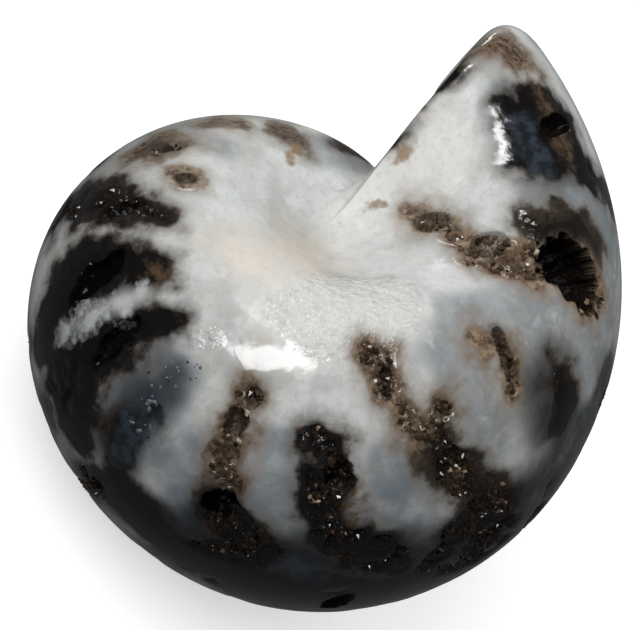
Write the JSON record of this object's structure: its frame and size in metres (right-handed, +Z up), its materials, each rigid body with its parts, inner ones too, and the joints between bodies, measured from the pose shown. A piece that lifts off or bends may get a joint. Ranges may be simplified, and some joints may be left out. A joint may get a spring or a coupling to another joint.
{
  "type": "polished ammonite",
  "caption": "Coiled fossil shell turned to stone: one closely wound, swelling whorl, polished smooth, with small open pits where chambers weren't filled.",
  "frame": {"origin": "on the surface that the piece lies on, under the middle of its box", "axes": "+Z up, away from the flank that it lies on; the rim points roughly along +Y and the whorl grows counter-clockwise seen from above"},
  "size_m": [0.052, 0.0624, 0.0501],
  "materials": {
    "chalcedony": "polished, cloudy white and blue-grey stone with smoky brown to black chamber fillings and sparkling druse in the open pits"
  },
  "bodies": {
    "root": {"ammonite": "chalcedony"}
  },
  "joints": []
}
